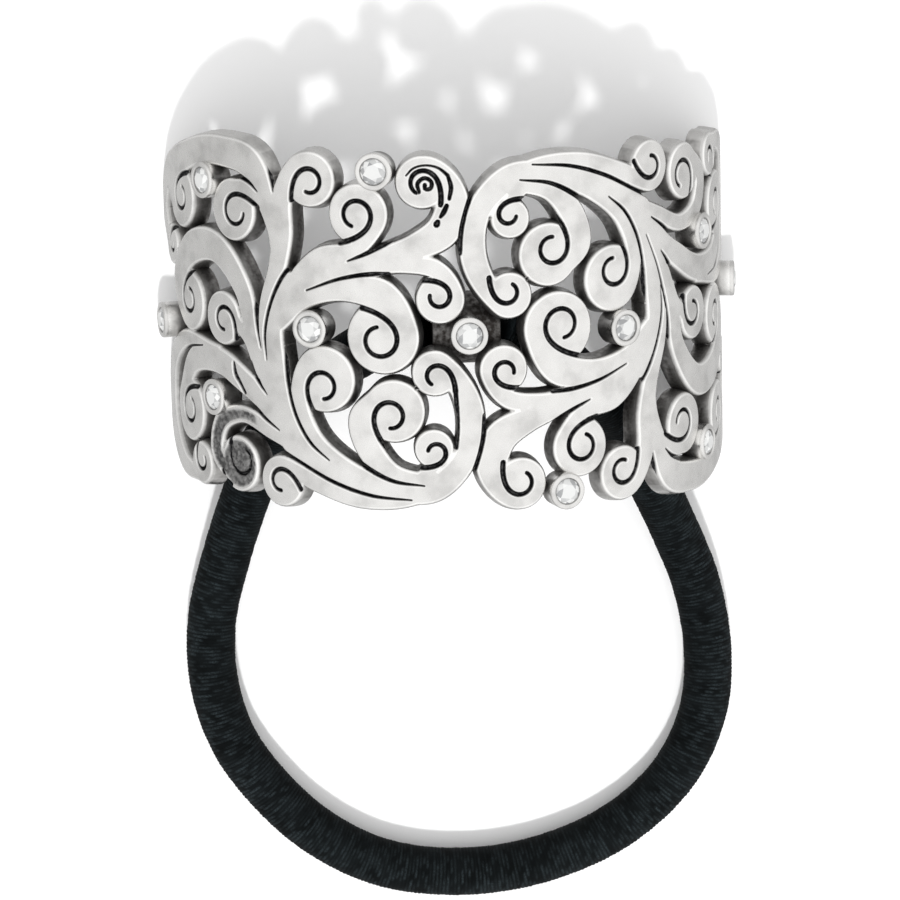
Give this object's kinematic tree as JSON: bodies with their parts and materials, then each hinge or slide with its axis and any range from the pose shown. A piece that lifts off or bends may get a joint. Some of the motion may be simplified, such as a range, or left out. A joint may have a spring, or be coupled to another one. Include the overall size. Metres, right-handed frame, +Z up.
{
  "type": "hair tie",
  "caption": "Elastic hair tie with an arched, pierced scrollwork cuff set with small round crystals.",
  "frame": {"origin": "on the surface it lies on, under the middle of the cuff", "axes": "+Z up through the crown of the arch, +X across the arch from foot to foot, +Y along the arch's axis, away from the loose loop of elastic"},
  "size_m": [0.0466, 0.065, 0.0217],
  "materials": {
    "silver": "antique silver: polished faces, dark oxidised recesses and side walls",
    "elastic": "black covered elastic cord with fine ribs across it",
    "crystal": "clear, faceted and polished"
  },
  "bodies": {
    "root": {"cuff": "silver", "elastic": "elastic", "crystal_0": "crystal", "crystal_1": "crystal", "crystal_2": "crystal", "crystal_3": "crystal", "crystal_4": "crystal", "crystal_5": "crystal", "crystal_6": "crystal", "crystal_7": "crystal", "crystal_8": "crystal", "crystal_9": "crystal", "crystal_10": "crystal"}
  },
  "joints": []
}
